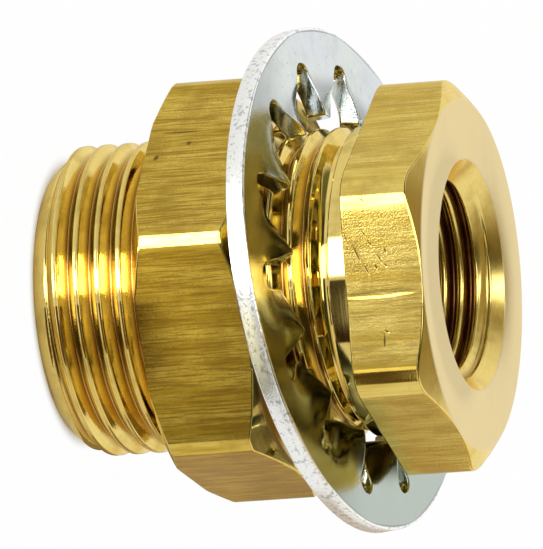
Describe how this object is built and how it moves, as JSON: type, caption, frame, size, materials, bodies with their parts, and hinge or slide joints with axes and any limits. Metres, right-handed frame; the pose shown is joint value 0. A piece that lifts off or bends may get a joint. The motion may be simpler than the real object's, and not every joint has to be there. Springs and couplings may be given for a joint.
{
  "type": "tank connector",
  "caption": "Brass tank connector: a bored hexagon-headed body with a threaded shank, a lock nut and a toothed lock washer, for a pipe joint through a wall.",
  "frame": {"origin": "centre of the shank's end face, on which the fitting stands", "axes": "+Z along the shank's axis towards the head; one flat of the head faces -Y"},
  "size_m": [0.0414, 0.0414, 0.0339],
  "materials": {
    "body_brass": "bright drawn flats, turned ends and threads",
    "nut_brass": "bright drawn flats with fine streaks along the axis",
    "zinc_plated_steel": "pale zinc plating, stamped edge"
  },
  "bodies": {
    "coupling": {"coupling_body": "body_brass"},
    "washer": {"lock_washer": "zinc_plated_steel"},
    "nut": {"lock_nut": "nut_brass"}
  },
  "joints": [
    {"name": "washer_travel", "type": "slide", "parent": "coupling", "child": "washer", "axis": [0, 0, 1], "range_m": [-0.00998, 0]},
    {"name": "nut_turn", "type": "hinge", "parent": "washer", "child": "nut", "pos_m": [0, 0, 0.0148], "axis": [0, 0, 1], "range_deg": [-1980, 0]}
  ],
  "couplings": [
    {"joint": "washer_travel", "follows": "nut_turn", "m_per_rad": 0.00028875}
  ]
}
